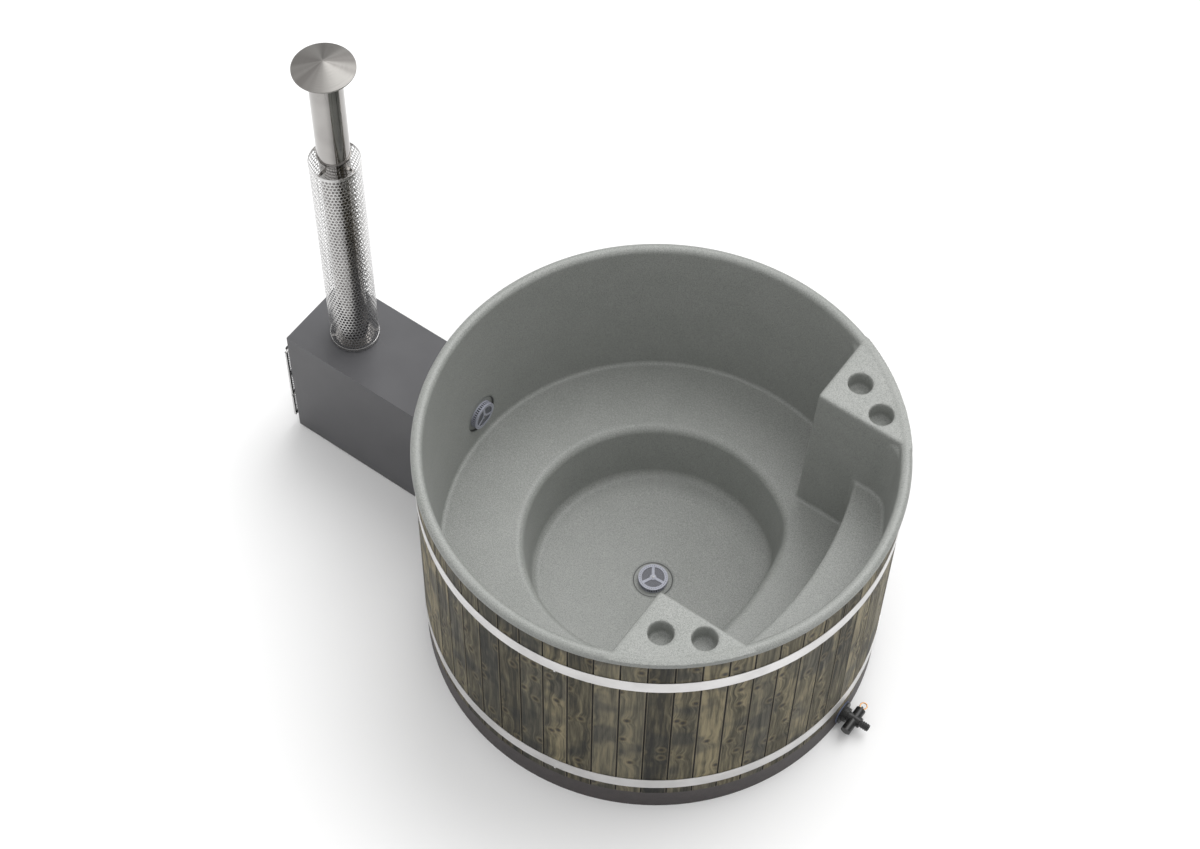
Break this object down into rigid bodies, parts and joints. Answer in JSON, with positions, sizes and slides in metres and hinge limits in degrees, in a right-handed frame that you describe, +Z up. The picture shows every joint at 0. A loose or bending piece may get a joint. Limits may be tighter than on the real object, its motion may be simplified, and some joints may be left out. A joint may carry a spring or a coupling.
{
  "type": "wooden hot tub",
  "caption": "Round staved hot tub with a moulded liner, bench, footwell, entry step and cup-holder consoles, heated by an external wood-fired stove with a guarded flue.",
  "frame": {"origin": "on the ground under the tub's centre", "axes": "+Z up, +X from the stove across the tub to the entry step and drain valve"},
  "size_m": [2.746, 1.7996, 2.218],
  "materials": {
    "granite_liner": "fine granite speckle, satin",
    "stained_wood": "weathered olive-brown stain, matte",
    "raw_wood": "planed",
    "hoop_steel": "dull bright",
    "bright_steel": "bright",
    "base_plastic": "matte",
    "foam": "closed-cell foam",
    "strainer_plastic": "satin",
    "fitting_plastic": "satin",
    "pipe_plastic": "matte",
    "black_rubber": "matte",
    "gasket_rubber": "matte",
    "valve_plastic": "satin",
    "copper_ring": "polished",
    "dark_coat": "powder coat",
    "jacket_steel": "rolled plate",
    "iron": "black",
    "guard_steel": "pierced sheet",
    "seal_rope": "braided",
    "flue_steel": "brushed"
  },
  "bodies": {
    "tub": {"tub_liner": "granite_liner", "staves_1": "stained_wood", "staves_2": "stained_wood", "staves_3": "stained_wood", "staves_4": "stained_wood", "staves_5": "stained_wood", "staves_6": "stained_wood", "hoop_upper": "hoop_steel", "hoop_lower": "hoop_steel", "hoop_bolts": "bright_steel", "hoop_nails": "bright_steel", "base_tray": "base_plastic", "base_bearers": "raw_wood", "floor_board": "raw_wood", "floor_insulation": "foam", "seat_posts": "raw_wood", "floor_strainer": "strainer_plastic", "wall_strainer": "strainer_plastic", "strainer_screws": "bright_steel", "floor_fitting": "fitting_plastic", "wall_fitting": "fitting_plastic", "fitting_gaskets": "black_rubber", "fitting_nuts": "fitting_plastic", "drain_tee": "fitting_plastic", "drain_pipe": "pipe_plastic", "cold_pipe": "pipe_plastic", "hot_pipe": "pipe_plastic", "valve_gasket": "gasket_rubber", "valve_body": "valve_plastic", "valve_nut": "valve_plastic", "hose_barb": "valve_plastic", "valve_cap": "valve_plastic", "stove_casing": "dark_coat", "stove_front": "dark_coat", "stove_back": "dark_coat", "stove_pan": "bright_steel", "stove_feet": "black_rubber", "firebox": "jacket_steel", "fire_grate": "iron", "ash_rails": "jacket_steel", "hinge_brackets": "jacket_steel", "hinge_pins": "bright_steel", "latch_keeper": "jacket_steel", "flue_lower": "flue_steel", "flue_upper": "flue_steel", "rain_cap": "flue_steel", "cap_legs": "flue_steel", "flue_guard": "flue_steel", "guard_tabs": "flue_steel", "flue_collar": "flue_steel"},
    "fire_door": {"fire_door": "iron", "door_seal": "seal_rope", "door_guard": "guard_steel"},
    "door_latch": {"door_latch": "iron"},
    "air_slider": {"air_slider": "bright_steel"},
    "ash_drawer": {"ash_drawer": "jacket_steel", "ash_guard": "guard_steel"},
    "valve_plunger": {"valve_plunger": "valve_plastic"},
    "pull_ring": {"pull_ring": "copper_ring"}
  },
  "joints": [
    {"name": "door_hinge", "type": "hinge", "parent": "tub", "child": "fire_door", "pos_m": [-1.67, 0.168, 0.35], "axis": [0, 0, -1], "range_deg": [0, 105]},
    {"name": "latch_turn", "type": "hinge", "parent": "fire_door", "child": "door_latch", "pos_m": [-1.68, -0.108, 0.34], "axis": [1, 0, 0], "range_deg": [0, 90]},
    {"name": "air_slide", "type": "slide", "parent": "fire_door", "child": "air_slider", "axis": [0, 1, 0], "range_m": [0, 0.015]},
    {"name": "drawer_slide", "type": "slide", "parent": "tub", "child": "ash_drawer", "axis": [-1, 0, 0], "range_m": [0, 0.4]},
    {"name": "plunger_slide", "type": "slide", "parent": "tub", "child": "valve_plunger", "axis": [0, 1, 0], "range_m": [0, 0.03]},
    {"name": "ring_swing", "type": "hinge", "parent": "valve_plunger", "child": "pull_ring", "pos_m": [0.944, 0.0563, 0.052], "axis": [1, 0, 0], "range_deg": [-80, 80]}
  ]
}
